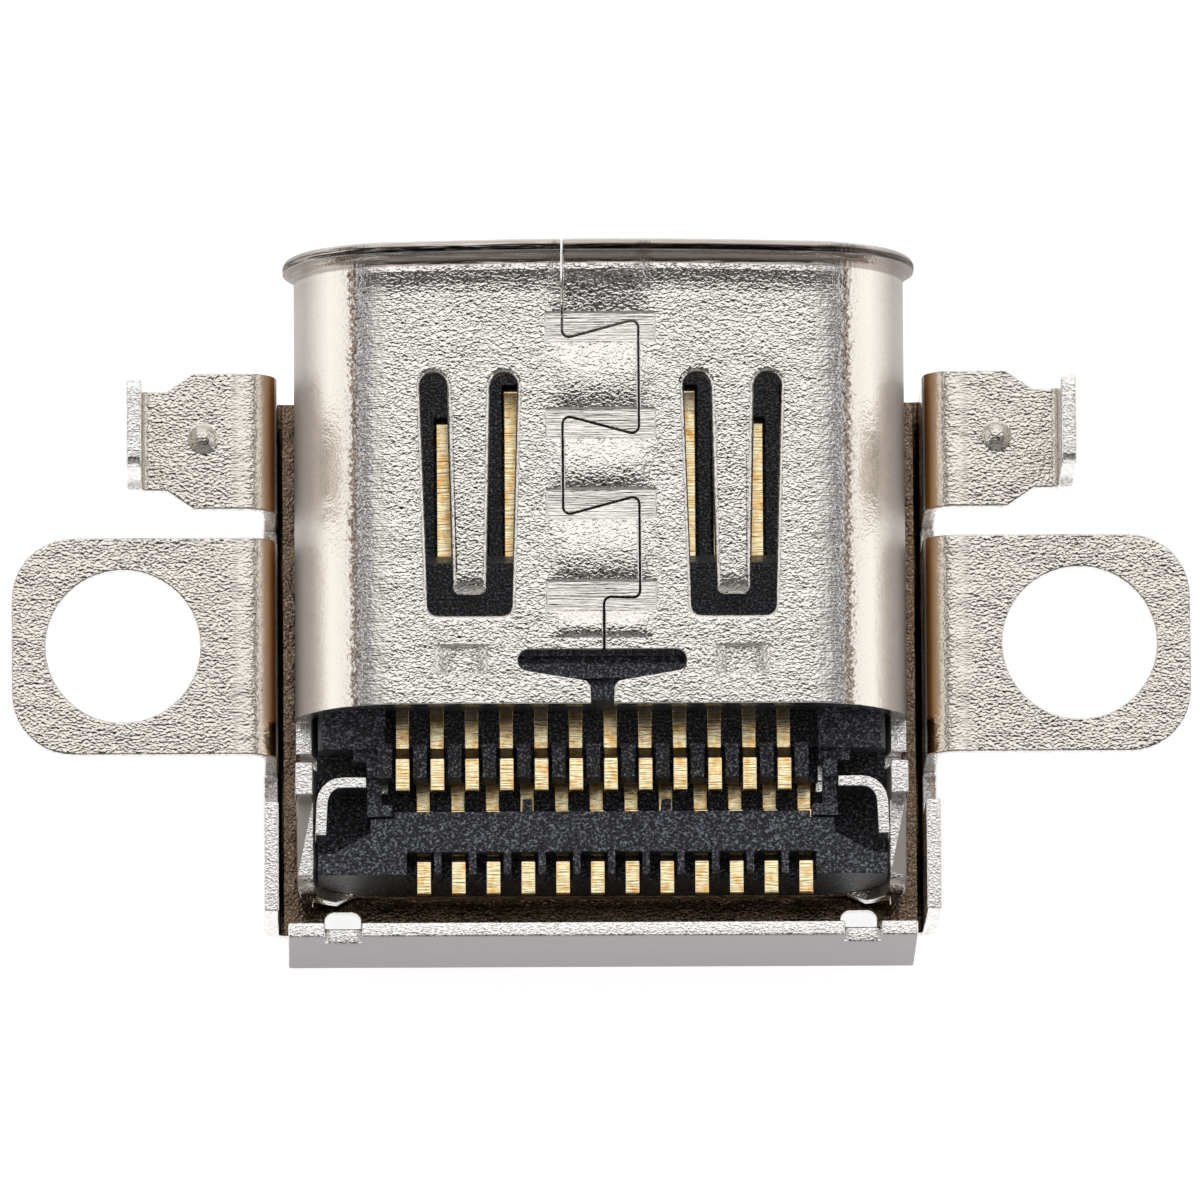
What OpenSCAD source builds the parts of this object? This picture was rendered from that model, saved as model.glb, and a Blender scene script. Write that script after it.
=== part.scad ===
// Mid-mount USB-C socket with a folded screw bracket.
// X is the width, +Y points out of the mouth and +Z points at the circuit board.
// The origin is midway between the two screw holes, on the face that the board seats on.

/* [Plug opening] */
// Width of the opening
opening_w = 8.34; // [8.24:0.02:8.5]
// Height of the opening
opening_h = 2.56; // [2.48:0.02:2.64]
// Depth of the plug axis below the board face
axis_drop = 0.75; // [0.7:0.01:0.85]

/* [Shell] */
// Sheet thickness of the shell
shell_wall = 0.25; // [0.2:0.01:0.3]
// Distance from the screw line to the mouth
mouth_y = 5.8; // [5.6:0.05:6.2]
// Distance from the screw line back to the rear edge of the shell's top wall
roof_rear = 1; // [0.95:0.01:1.1]
// How far the flared lip stands out from the shell
lip_reach = 0.16; // [0.08:0.01:0.19]
// Thickness of the flared lip
lip_thick = 0.19; // [0.12:0.01:0.26]
// Radius of the lip's rounded outer edge
lip_round = 0.1; // [0.05:0.01:0.1]
// Radius that blends the lip into the shell
lip_blend = 0.15; // [0.08:0.01:0.16]
// Radius of the mouth's entry
entry_r = 0.2; // [0.1:0.01:0.24]
// Distance from the screw line back to the end of the shell's side walls
trough_rear = 3.65; // [3.55:0.01:3.75]

/* [Windows and spring fingers] */
// Distance between the two windows' centres
window_pitch = 3.8; // [3.6:0.05:4]
// Width of a window at its mouth end
window_w = 1.4; // [1.3:0.05:1.5]
// Width of a window at its rear end
window_rear_w = 1.2; // [1.1:0.05:1.25]
// Length of a window
window_len = 3.55; // [3.3:0.05:3.7]
// Distance from the mouth to a window
window_setback = 1.95; // [1.85:0.05:2.1]
// Width of a spring finger at its root
finger_w = 0.64; // [0.5:0.02:0.7]
// Width of a spring finger at its free end
finger_end_w = 0.5; // [0.4:0.02:0.56]
// Gap between a finger's free end and the window
finger_gap = 0.32; // [0.2:0.02:0.5]
// How far a finger's free end dips into the opening
finger_dip = 0.1; // [0.04:0.01:0.16]

/* [Seam] */
// Width of the interlocked seam's gap
seam_gap = 0.03; // [0.02:0.005:0.05]
// Distance between the seam's two straight lines
seam_swing = 1.1; // [0.9:0.05:1.2]
// Width of a coined pad
coin_w = 1.56; // [1.4:0.02:1.7]
// Length of a coined pad
coin_len = 0.42; // [0.38:0.01:0.46]
// Depth of a coined pad
coin_depth = 0.02; // [0.01:0.005:0.04]

/* [Bracket] */
// Sheet thickness of the bracket
sheet = 0.22; // [0.2:0.01:0.26]
// Gap between the shell's sides and the bracket's walls
side_gap = 0.24; // [0.18:0.01:0.26]
// Inside radius of the bends that turn the ears out
bend_r = 0.28; // [0.2:0.01:0.34]
// Inside radius of the folds along the floor
fold_r = 0.08; // [0.05:0.01:0.2]
// Distance from the screw line to the front of the bracket's floor
floor_front = 3.96; // [3.9:0.02:4.1]
// Distance from the screw line back to the outside of the rear wall
rear_wall_y = 4.36; // [4.32:0.01:4.4]
// Width of the rear wall
rear_wall_w = 9.06; // [8.9:0.02:9.1]
// Gap from the side walls' rear ends to the outside of the rear wall
side_wall_inset = 0.48; // [0.44:0.01:0.5]

/* [Screw ears] */
// Distance between the two screw holes
screw_pitch = 13.8; // [13.6:0.05:14.2]
// Diameter of a screw hole
screw_hole_d = 2.22; // [1.8:0.02:2.3]
// Length of a screw ear along the shell
ear_len = 3.18; // [3:0.02:3.3]
// Distance from a screw hole's centre to its ear's end
ear_end = 1.61; // [1.5:0.01:1.8]
// Corner radius of a screw ear
ear_corner = 0.9; // [0.4:0.05:1.1]

/* [Leg ears] */
// Distance from the screw line to a leg ear's centre
leg_ear_y = 3; // [2.95:0.01:3.02]
// Length of a leg ear along the shell
leg_ear_len = 2; // [1.8:0.02:2.04]
// Distance between the outsides of the two front legs
leg_span = 13.66; // [13.4:0.02:14]
// Width of a front leg
leg_w = 1.3; // [1.1:0.02:1.4]
// Height of a front leg above the board face
leg_h = 1.6; // [1.2:0.05:2]
// Diameter of the pressed dimple
dimple_d = 0.42; // [0.3:0.02:0.46]
// Distance between the two dimples
dimple_span = 11.46; // [11.3:0.02:11.6]

/* [Tongue] */
// Width of the tongue
tongue_w = 6.69; // [6.6:0.01:6.72]
// Thickness of the tongue
tongue_t = 0.7; // [0.66:0.01:0.72]
// Distance from the mouth to the tongue's tip
tongue_setback = 0.95; // [0.8:0.05:1.1]
// Half thickness of the step at the tongue's root
root_half = 0.75; // [0.7:0.01:0.8]
// Clearance of the insulators in the shell
fit_gap = 0.02; // [0.01:0.005:0.04]

/* [Contacts] */
// Spacing of the contacts
pitch = 0.5; // [0.49:0.005:0.51]
// Width of a signal contact on the tongue
signal_w = 0.23; // [0.2:0.01:0.25]
// Width of a power contact on the tongue
power_w = 0.27; // [0.24:0.01:0.3]
// Width of a contact's tail
tail_w = 0.2; // [0.18:0.01:0.22]
// Thickness of the contacts
contact_t = 0.15; // [0.13:0.01:0.16]
// Length of a solder foot
foot_len = 0.47; // [0.4:0.01:0.52]
// Distance from the tongue's tip to the long contacts
long_setback = 1; // [0.9:0.05:1.2]
// Distance from the tongue's tip to the short contacts
short_setback = 1.48; // [1.4:0.02:1.7]

/* [Mid plate] */
// Thickness of the mid plate
plate_t = 0.15; // [0.12:0.01:0.18]
// Thickness of the ground springs at the mid plate's sides
spring_t = 0.16; // [0.12:0.01:0.18]
// Distance from the tongue's tip to the notches for the plug's latches
latch_setback = 1.6; // [1.4:0.05:1.8]

/* [Hidden] */
$fn = 48;
eps = 0.01;
reach = 20;                                   // longer than any cut needs to be

// Shell: a stadium section swept along Y
axis_z = -axis_drop;
r_in = opening_h / 2;
r_out = r_in + shell_wall;
core = (opening_w - opening_h) / 2;           // half length of the section's flat stretch
shell_half = core + r_out;
shell_in_half = core + r_in;
roof_z = axis_z + r_out;
trough_foot = axis_z - r_in;                  // inside of the shell's base wall
lip_back = mouth_y - lip_thick;
blend_r = min(lip_blend, lip_reach);

// Seam
coin_setbacks = [1.29, 2.7, 3.88, 5.22];      // from the mouth to each coined pad's centre
coin_corner = 0.06;
seam_bend = 0.1;
seam_tail_x = 0.03;                           // the last stretch runs nearly on the middle
coin_ys = [for (s = coin_setbacks) mouth_y - s];

// Slot at the middle of the roof's rear edge
slot_half = 1.19;
slot_stem = 0.17;
slot_front = -(roof_rear - 0.79);
slot_back = -(roof_rear - 0.48);
slot_taper = -(roof_rear - 0.34);
slot_corner = 0.13;

// Pressed bridges that lock the shell on the insulator
bridge_x = 2.01;
bridge_w = 0.84;
bridge_len = 0.42;
bridge_sag = 0.13;
bridge_t = 0.2;
bridge_y = -(roof_rear - 0.65);

// Window geometry
window_front = mouth_y - window_setback;
window_rear = window_front - window_len;
window_corner = 0.14;
slot_w = (window_w - finger_w) / 2;           // slot beside a finger's root
finger_root = window_front - slot_w / 2;
finger_end = window_rear + finger_gap;
finger_corner = 0.12;

// Side walls of the shell behind the roof
flank_tab_top = -0.33;
flank_low = -0.95;
flank_notch = -1.2;
notch_front = -(roof_rear + 0.47);
tab_front = -(roof_rear + 0.65);
tab_rear = -(roof_rear + 1.13);
flank_fall = -(trough_rear - 0.45);
trough_lip = -(trough_rear - 0.3);            // rear edge of the base wall at the middle
trough_ear = -(trough_rear - 0.15);           // rear edge of the base wall at the sides

// Bracket
floor_top = axis_z - r_out;
floor_under = floor_top - sheet;
wall_in = shell_half + side_gap;
wall_out = wall_in + sheet;
bend_out = bend_r + sheet;
fold_out = fold_r + sheet;
ear_flat = wall_in + bend_out;                // where an ear's flat stretch starts
screw_x = screw_pitch / 2;
ear_tip = screw_x + ear_end;
ear_front = ear_len / 2;
side_wall_rear = -(rear_wall_y - side_wall_inset);
side_wall_front = -(ear_front + 0.68);        // front edge of the rear side walls
notch_floor = floor_top + 0.43;
notch_r = 0.1;
relief_in = 3.48;                             // relief holes between the floor and the rear wall
relief_out = 4;
relief_depth = 0.48;
relief_corner = 0.14;
relief_runout = 0.1;                           // how far a hole cuts up into the bend's underside
relief_front = -(rear_wall_y - 0.82);
rear_lean = 2.5;                              // degrees that the rear wall leans to the mouth

// Leg ears
leg_out = leg_span / 2;
leg_bend = 0.12;
leg_corner = 0.15;
leg_ear_front = leg_ear_y + leg_ear_len / 2;
leg_ear_rear = leg_ear_y - leg_ear_len / 2;
neck_half = leg_w / 2 + 0.08;
neck_x = leg_out - 0.57;
taper_x = leg_out - 0.96;
dimple_rise = 0.11;

// Heights inside the insulators
tongue_top = axis_z + tongue_t / 2;
tongue_under = axis_z - tongue_t / 2;
plate_top = axis_z + plate_t / 2;
plate_under = axis_z - plate_t / 2;

// Stations along Y inside the insulators
tongue_tip = mouth_y - tongue_setback;
root_front = window_rear + 1.07;
body_front = window_rear - 0.05;
body_rear = -(roof_rear - 0.1);
wafer_rear = body_rear - 1.03;
long_tip = tongue_tip - long_setback;
short_tip = tongue_tip - short_setback;
jog_front = body_front + 0.55;
jog_rear = jog_front - 0.4;
groove_side = 0.03;                           // clearance beside a contact in its groove
tongue_bevel = 0.16;

// Board-side tails: a run, a riser and a foot
board_rise = body_rear - 0.56;
board_foot = board_rise - 0.2;
board_foot_end = board_foot - foot_len;
deck_z = tongue_top - 0.1;
rib_w = pitch - tail_w - 0.1;
rib_front = body_rear - 0.53;
rib_top = -0.1;
channel_z = deck_z - 0.1;
block_in = 5.5 * pitch + 0.37;
block_out = shell_in_half - 0.08;
block_top = -0.2;
block_rear = body_rear - 0.59;
step_out = block_in + 0.46;
step_rear = block_rear - 0.17;
post_in = block_in + 0.06;
post_out = post_in + 0.21;
post_rear = block_rear - 0.85;
foot_in = block_in - 0.09;
foot_rear = post_rear - 0.16;

// Base-side tails: a run, a riser, a high run under the bar, a riser and a foot
bar_front = wafer_rear - 0.5;
bar_rear = bar_front - 0.92;
bar_top = -0.05;
tooth_front = bar_rear + 0.33;
slot_floor = -0.6;
high_top = -0.3;                              // top of the high run
high_under = high_top - contact_t;
base_rise = bar_front + 0.1;
base_crest = bar_front;
base_foot = bar_rear + 0.18;
base_foot_end = base_foot - foot_len;
base_foot_rise = base_foot + 0.12;
base_shift = 0.05;                            // the feet stand off centre in their slots
base_deck = tongue_under + contact_t - 0.05;
bar_out = shell_in_half - 0.07;
bar_shoulder = 5.5 * pitch + 0.59;
bar_slope_out = bar_shoulder + 0.54;
bar_wing = tooth_front - 0.02;
bar_notch_in = foot_in - 0.04;                // notch that the board-side wafer's foot drops into
bar_notch_rear = foot_rear - 0.03;
tooth_w = 0.11;
cap_w = 0.14;                                 // posts in front of two covered risers
cap_len = 0.22;
cap_top = high_top + 0.02;
covered = [4, 8];                             // base-side contacts that rise inside the bar
covered_rise = bar_front - 0.12;
covered_crest = bar_front - 0.34;

// Ground springs of the mid plate
spring_y = wafer_rear - 0.06;
spring_in = post_out + 0.01;
spring_out = shell_in_half - 0.03 - spring_t / 2;
spring_tip = bar_wing + 0.28;
spring_bend = 0.3;
spring_top = -0.1;

// Points on an arc, from angle a to angle b
function arc(cx, cy, r, a, b, n = 6) =
    [for (i = [0:n]) let (t = a + (b - a) * i / n) [cx + r * cos(t), cy + r * sin(t)]];

// Unit vector from p to q
function heading(p, q) = (q - p) / norm(q - p);

// One corner of a path, rounded to radius r
function corner(p, q, s, r, n = 5) =
    let (u = heading(q, p), v = heading(q, s),
         half = acos(u * v) / 2,
         back = min(r / tan(half), 0.45 * min(norm(p - q), norm(s - q))),
         m = heading([0, 0], u + v),
         c = q + m * back / cos(half),
         a = q + u * back - c,
         b = q + v * back - c,
         a0 = atan2(a[1], a[0]),
         turn = atan2(b[1], b[0]) - a0,
         sweep = turn > 180 ? turn - 360 : turn < -180 ? turn + 360 : turn)
    arc(c[0], c[1], norm(a), a0, a0 + sweep, n);

// A path with every inner corner rounded
function rounded(path, r) = let (last = len(path) - 1)
    concat([path[0]],
           [for (i = [1:last - 1]) each corner(path[i - 1], path[i], path[i + 1], r)],
           [path[last]]);

// Normal of a path at point i
function path_normal(path, i) =
    let (a = path[max(i - 1, 0)], b = path[min(i + 1, len(path) - 1)], d = heading(a, b))
    [-d[1], d[0]];

// Outline of a strip of width w along a path
function strip(path, w) = let (last = len(path) - 1)
    concat([for (i = [0:last]) path[i] + path_normal(path, i) * w / 2],
           [for (i = [last:-1:0]) path[i] - path_normal(path, i) * w / 2]);

// X of a contact on the tongue and at its tail: the rows' tails are staggered
function contact_x(i) = (i - 6.5) * pitch;
function board_tail_x(i) = contact_x(i) - pitch / 4;
function slot_x(i) = contact_x(i) + pitch / 4;
function base_tail_x(i) = slot_x(i) + base_shift;
function is_power(i) = i == 4 || i == 9;
function is_long(i) = is_power(i) || i == 1 || i == 12;
function blade_w(i) = is_power(i) ? power_w : signal_w;
function blade_tip(i) = is_long(i) ? long_tip : short_tip;
function is_covered(i) = len([for (c = covered) if (c == i) c]) > 0;

module along_x(w) {
    rotate([90, 0, 90]) linear_extrude(w, center = true) children();
}

module along_y(y0, y1) {
    translate([0, y1, 0]) rotate([90, 0, 0]) linear_extrude(y1 - y0) children();
}

module between_z(z0, z1) {
    translate([0, 0, z0]) linear_extrude(z1 - z0) children();
}

module both_sides() {
    children();
    mirror([1, 0, 0]) children();
}

// A box from its two corners
module span(a, b) {
    translate(a) cube(b - a);
}

module stadium(r) {
    square([2 * core, 2 * r], center = true);
    for (s = [-1, 1]) translate([s * core, 0]) circle(r);
}

module rounded_rect(w, h, r) {
    polygon(concat(arc(w / 2 - r, h / 2 - r, r, 0, 90), arc(r - w / 2, h / 2 - r, r, 90, 180),
                   arc(r - w / 2, r - h / 2, r, 180, 270), arc(w / 2 - r, r - h / 2, r, 270, 360)));
}

// ---- Shell ----

// Sweeps a profile drawn as (distance from the core line, Y) round the stadium
module swept_round() {
    translate([0, 0, axis_z]) {
        for (up = [0, 180]) rotate([0, up, 0])
            rotate([90, 0, 90]) linear_extrude(2 * core, center = true) mirror([1, -1]) children();
        for (s = [0, 180]) rotate([0, s, 0]) translate([core, 0, 0])
            rotate([-90, 0, 0]) rotate([0, 0, -90]) rotate_extrude(angle = 180) children();
    }
}

// Flared lip: blend fillet behind, rounded entry in front
module lip_profile() {
    polygon(concat(
        [[r_in, lip_back - blend_r - 0.05], [r_out, lip_back - blend_r - 0.05]],
        arc(r_out + blend_r, lip_back - blend_r, blend_r, 180, 90, 8),
        [[r_out + lip_reach, lip_back]],
        arc(r_out + lip_reach - lip_round, mouth_y - lip_round, lip_round, 0, 90, 5),
        [[r_in + entry_r, mouth_y]],
        arc(r_in + entry_r, mouth_y - entry_r, entry_r, 90, 180, 8)));
}

module front_tube() {
    along_y(-roof_rear, lip_back - blend_r) translate([0, axis_z]) difference() {
        stadium(r_out);
        stadium(r_in);
    }
    swept_round() lip_profile();
}

// Open trough behind the roof: base wall and two upright flanks
module rear_trough() {
    difference() {
        along_y(-trough_rear, -roof_rear) difference() {
            union() {
                translate([0, axis_z]) stadium(r_out);
                translate([-shell_half, axis_z]) square([2 * shell_half, flank_tab_top - axis_z]);
            }
            translate([0, axis_z]) stadium(r_in);
            translate([-shell_in_half, axis_z]) square([2 * shell_in_half, reach]);
            translate([-reach, flank_tab_top]) square(2 * reach);
        }
        flank_cut();
        trough_end_cut();
    }
}

// Tops of the flanks: level with the axis, a notch, a tab and a lower stretch
module flank_cut() {
    along_x(reach) polygon([
        [-roof_rear + eps, reach], [-roof_rear + eps, axis_z], [notch_front, axis_z],
        [notch_front, flank_notch], [tab_front, flank_notch], [tab_front, reach]]);
    along_x(reach) polygon(concat(
        [[tab_rear, reach], [tab_rear, flank_low], [flank_fall, flank_low]],
        arc(flank_fall, flank_low - 0.3, 0.3, 90, 160),
        [[-trough_rear, trough_foot + 0.2], [-trough_rear - 1, trough_foot + 0.2],
         [-trough_rear - 1, reach]]));
}

// Rear edge of the base wall, longer at its sides
module trough_end_cut() {
    in_x = core + 0.65;
    out_x = core + 0.95;
    between_z(axis_z - reach, axis_z) polygon([
        [-in_x, trough_lip], [in_x, trough_lip], [out_x, trough_ear], [shell_in_half, trough_ear],
        [shell_in_half, -reach], [-shell_in_half, -reach], [-shell_in_half, trough_ear],
        [-out_x, trough_ear]]);
}

// Window outline with its two slots beside the finger's root
module window_outline() {
    fx = finger_w / 2 + slot_w / 2;
    polygon(concat(
        arc(fx, finger_root, slot_w / 2, 0, 180, 8),
        arc(-fx, finger_root, slot_w / 2, 0, 180, 8),
        arc(window_corner - window_rear_w / 2, window_rear + window_corner, window_corner, 180, 270),
        arc(window_rear_w / 2 - window_corner, window_rear + window_corner, window_corner, 270, 360)));
}

// Spring finger: tapers in plan and dips towards its free end
module finger() {
    end_half = finger_end_w / 2;
    top = roof_z;
    intersection() {
        between_z(axis_z, roof_z + 1) polygon(concat(
            [[finger_w / 2, finger_root + eps], [-finger_w / 2, finger_root + eps]],
            arc(finger_corner - end_half, finger_end + finger_corner, finger_corner, 180, 270),
            arc(end_half - finger_corner, finger_end + finger_corner, finger_corner, 270, 360)));
        along_x(reach) polygon([
            [finger_root + 2 * eps, top], [finger_root, top], [finger_end + 0.3, top - finger_dip * 0.6],
            [finger_end + 0.12, top - finger_dip], [finger_end - eps, top - finger_dip * 2.2],
            [finger_end - eps, top - finger_dip * 2.2 - shell_wall * 0.8],
            [finger_end + 0.12, top - finger_dip - shell_wall],
            [finger_end + 0.3, top - finger_dip * 0.6 - shell_wall],
            [finger_root, top - shell_wall], [finger_root + 2 * eps, top - shell_wall]]);
    }
}

// The interlocked seam: straight stretches joined by a slanting tooth in each coined pad
function seam_path() =
    let (h = seam_swing / 2, dip = coin_len * 0.42, y = coin_ys)
    [[-h, mouth_y + 1], [-h, y[0] - dip], [h, y[0] + dip * 0.7], [h, y[1] - dip],
     [-h, y[1] + dip * 0.7], [-h, y[2] - dip], [h, y[2] + dip * 0.7], [h, y[3] - dip * 0.2],
     [seam_tail_x, y[3] - dip * 0.1], [seam_tail_x, slot_front - 0.05]];

module seam_cut() {
    between_z(axis_z + 0.5, roof_z + 1) polygon(strip(rounded(seam_path(), seam_bend), seam_gap));
}

module coined_pads() {
    for (y = coin_ys) translate([0, y, 0])
        between_z(roof_z - coin_depth, roof_z + 1) rounded_rect(coin_w, coin_len, coin_corner);
}

// T-shaped slot at the middle of the roof's rear edge
module rear_slot() {
    half = slot_half - slot_corner;
    mid = (slot_front + slot_back) / 2;
    deep = (slot_front - slot_back) / 2;
    between_z(axis_z + 0.5, roof_z + 1) polygon(concat(
        arc(half, mid, deep, 90, -70, 8),
        [[slot_stem + 0.06, slot_taper], [slot_stem, slot_taper - 0.08],
         [slot_stem - 0.04, -roof_rear - 1], [-slot_stem + 0.04, -roof_rear - 1],
         [-slot_stem, slot_taper - 0.08], [-slot_stem - 0.06, slot_taper]],
        arc(-half, mid, deep, 250, 90, 8)));
}

// A strip of the roof sheared front and back and pressed down into the insulator
module bridge() {
    r = (pow(bridge_w / 2, 2) + pow(bridge_sag, 2)) / (2 * bridge_sag);
    translate([bridge_x, 0, roof_z]) along_y(bridge_y - bridge_len / 2, bridge_y + bridge_len / 2)
        intersection() {
            difference() {
                translate([0, r - bridge_sag]) circle(r + bridge_t, $fn = 96);
                translate([0, r - bridge_sag]) circle(r, $fn = 96);
            }
            translate([-bridge_w / 2 - eps, -bridge_t - bridge_sag - eps])
                square([bridge_w + 2 * eps, bridge_t + bridge_sag + eps]);
        }
}

module bridge_hole() {
    span([bridge_x - bridge_w / 2, bridge_y - bridge_len / 2, axis_z + 0.5],
         [bridge_x + bridge_w / 2, bridge_y + bridge_len / 2, roof_z + 1]);
}

module shell() {
    color("silver") {
        difference() {
            union() {
                front_tube();
                rear_trough();
            }
            both_sides() translate([window_pitch / 2, 0, 0])
                between_z(axis_z + 0.5, roof_z + 1) window_outline();
            both_sides() bridge_hole();
            seam_cut();
            coined_pads();
            rear_slot();
        }
        both_sides() translate([window_pitch / 2, 0, 0]) finger();
        both_sides() bridge();
    }
}

// ---- Bracket ----

// U channel: floor, two rounded bends and two walls up to height top
module channel_section(top) {
    for (s = [0, 1]) mirror([s, 0]) {
        translate([0, floor_under]) square([wall_out - fold_out, sheet]);
        translate([wall_out - fold_out, floor_under + fold_out]) intersection() {
            difference() {
                circle(fold_out);
                circle(fold_r);
            }
            translate([0, -fold_out]) square(fold_out);
        }
        translate([wall_in, floor_under + fold_out]) square([sheet, top - floor_under - fold_out]);
    }
}

// Bend that turns a wall's top outwards into an ear
module ear_bend(y0, y1) {
    along_y(y0, y1) translate([ear_flat, -bend_out]) intersection() {
        difference() {
            circle(bend_out);
            circle(bend_r);
        }
        translate([-bend_out, 0]) square(bend_out);
    }
}

module screw_ear() {
    ear_bend(-ear_front, ear_front);
    between_z(-sheet, 0) difference() {
        polygon(concat(
            [[ear_flat - eps, -ear_front]],
            arc(ear_tip - ear_corner, ear_corner - ear_front, ear_corner, 270, 360, 10),
            arc(ear_tip - ear_corner, ear_front - ear_corner, ear_corner, 0, 90, 10),
            [[ear_flat - eps, ear_front]]));
        translate([screw_x, 0]) circle(d = screw_hole_d, $fn = 72);
    }
}

// Leg ear: tapers to a neck, then turns up into a leg that goes through the board
module leg_ear() {
    turn_x = leg_out - sheet - leg_bend;
    ear_bend(leg_ear_rear, leg_ear_front);
    difference() {
        union() {
            between_z(-sheet, 0) polygon([
                [ear_flat - eps, leg_ear_rear], [taper_x, leg_ear_rear],
                [neck_x, leg_ear_y - neck_half], [turn_x, leg_ear_y - neck_half],
                [turn_x, leg_ear_y + neck_half], [neck_x, leg_ear_y + neck_half],
                [taper_x, leg_ear_front], [ear_flat - eps, leg_ear_front]]);
            dimple(dimple_d, dimple_rise, 0);
        }
        dimple(dimple_d * 0.6, dimple_rise * 0.9, -sheet);
    }
    along_y(leg_ear_y - neck_half, leg_ear_y + neck_half) translate([turn_x, leg_bend])
        intersection() {
            difference() {
                circle(leg_bend + sheet);
                circle(leg_bend);
            }
            translate([0, -leg_bend - sheet]) square(leg_bend + sheet);
        }
    translate([leg_out - sheet / 2, leg_ear_y, 0]) along_x(sheet) polygon(concat(
        [[-neck_half, leg_bend], [neck_half, leg_bend], [leg_w / 2, leg_bend + 0.15]],
        arc(leg_w / 2 - leg_corner, leg_h - leg_corner, leg_corner, 0, 90),
        arc(leg_corner - leg_w / 2, leg_h - leg_corner, leg_corner, 90, 180),
        [[-leg_w / 2, leg_bend + 0.15]]));
}

// Spherical dimple of diameter d that rises by rise above height z
module dimple(d, rise, z) {
    r = (d * d / 4 + rise * rise) / (2 * rise);
    translate([dimple_span / 2, leg_ear_y + 0.03, z]) intersection() {
        translate([0, 0, rise - r]) sphere(r);
        translate([-d, -d, -eps]) cube([2 * d, 2 * d, d]);
    }
}

// Side wall edge in YZ: what is cut away between the ears and behind them
module wall_notches() {
    wall_notch(leg_ear_rear, ear_front);
    wall_notch(-ear_front, side_wall_front);
    along_x(reach) polygon([
        [floor_front, reach], [floor_front, floor_under - 1], [floor_front + 1, floor_under - 1],
        [floor_front + 1, reach]]);
}

module wall_notch(y_front, y_rear) {
    along_x(reach) polygon(concat(
        [[y_front, reach], [y_rear, reach]],
        arc(y_rear + notch_r, notch_floor + notch_r, notch_r, 180, 270),
        arc(y_front - notch_r, notch_floor + notch_r, notch_r, 270, 360)));
}

// Rear wall: bends up from the floor and leans slightly to the mouth
module rear_wall() {
    bend_y = -rear_wall_y + fold_out;
    bend_z = floor_under + fold_out;
    along_x(rear_wall_w) {
        translate([bend_y, floor_under]) square([side_wall_rear - bend_y + eps, sheet]);
        translate([bend_y, bend_z]) {
            intersection() {
                difference() {
                    circle(fold_out);
                    circle(fold_r);
                }
                rotate(-rear_lean) translate([-2 * fold_out, -2 * fold_out])
                    square([4 * fold_out, 2 * fold_out]);
                translate([-2 * fold_out, -2 * fold_out]) square([2 * fold_out, 3 * fold_out]);
            }
            rotate(-rear_lean) translate([-fold_out, 0]) square([sheet, -bend_z]);
        }
    }
}

// Relief holes at the foot of the rear wall and notches above them
module rear_reliefs() {
    w = relief_out - relief_in;
    mid = (relief_in + relief_out) / 2;
    between_z(floor_under - 1, floor_top + 0.25) translate([mid, 0]) polygon(concat(
        [[-w / 2, -rear_wall_y + sheet], [w / 2, -rear_wall_y + sheet]],
        arc(w / 2 - relief_corner, relief_front - relief_corner, relief_corner, 0, 90),
        arc(relief_corner - w / 2, relief_front - relief_corner, relief_corner, 90, 180)));
    span([relief_in, -rear_wall_y - 1, floor_under - 1],
         [relief_out, -rear_wall_y + sheet + eps, floor_under + relief_runout]);
    translate([mid, 0, -relief_depth]) along_y(-rear_wall_y - 1, -rear_wall_y + 0.6)
        polygon(concat(
            [[w / 2, reach], [-w / 2, reach]],
            arc(0.08 - w / 2, 0.08, 0.08, 180, 270), arc(w / 2 - 0.08, 0.08, 0.08, 270, 360)));
}

module bracket() {
    color("silver") {
        difference() {
            union() {
                along_y(side_wall_rear, floor_front) channel_section(0);
                rear_wall();
            }
            wall_notches();
            ear_zone_cut(-ear_front, ear_front);
            ear_zone_cut(leg_ear_rear, leg_ear_front);
            both_sides() rear_reliefs();
        }
        both_sides() {
            screw_ear();
            leg_ear();
        }
    }
}

// Clears the top of the walls where an ear's bend takes their place
module ear_zone_cut(y0, y1) {
    span([-reach, y0, -bend_out], [reach, y1, reach]);
}

// ---- Contacts ----

// Plan outline of a contact's run: the blade on the tongue, a jog and the tail
function run_outline(i, tail_x, y_end, extra = 0) =
    let (x = contact_x(i), b = blade_w(i) / 2 + extra, t = tail_w / 2 + extra)
    [[x - b, blade_tip(i) + extra], [x + b, blade_tip(i) + extra], [x + b, jog_front],
     [tail_x + t, jog_rear], [tail_x + t, y_end], [tail_x - t, y_end], [tail_x - t, jog_rear],
     [x - b, jog_front]];

module board_run(i) {
    between_z(tongue_top - contact_t, tongue_top)
        polygon(run_outline(i, board_tail_x(i), board_rise));
}

module board_contact(i) {
    t = contact_t;
    color("gold") difference() {
        union() {
            board_run(i);
            translate([board_tail_x(i), 0, 0]) along_x(tail_w) polygon([
                [board_rise + eps, tongue_top - t], [board_rise + eps, tongue_top],
                [board_rise, tongue_top], [board_foot, 0], [board_foot_end, 0],
                [board_foot_end, -t], [board_foot - 0.08, -t], [board_rise - 0.08, tongue_top - t]]);
        }
        blade_bevel(i, tongue_top, 1);
    }
}

module base_run(i) {
    between_z(tongue_under, tongue_under + contact_t)
        polygon(run_outline(i, base_tail_x(i), is_covered(i) ? covered_rise : base_rise));
}

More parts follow.
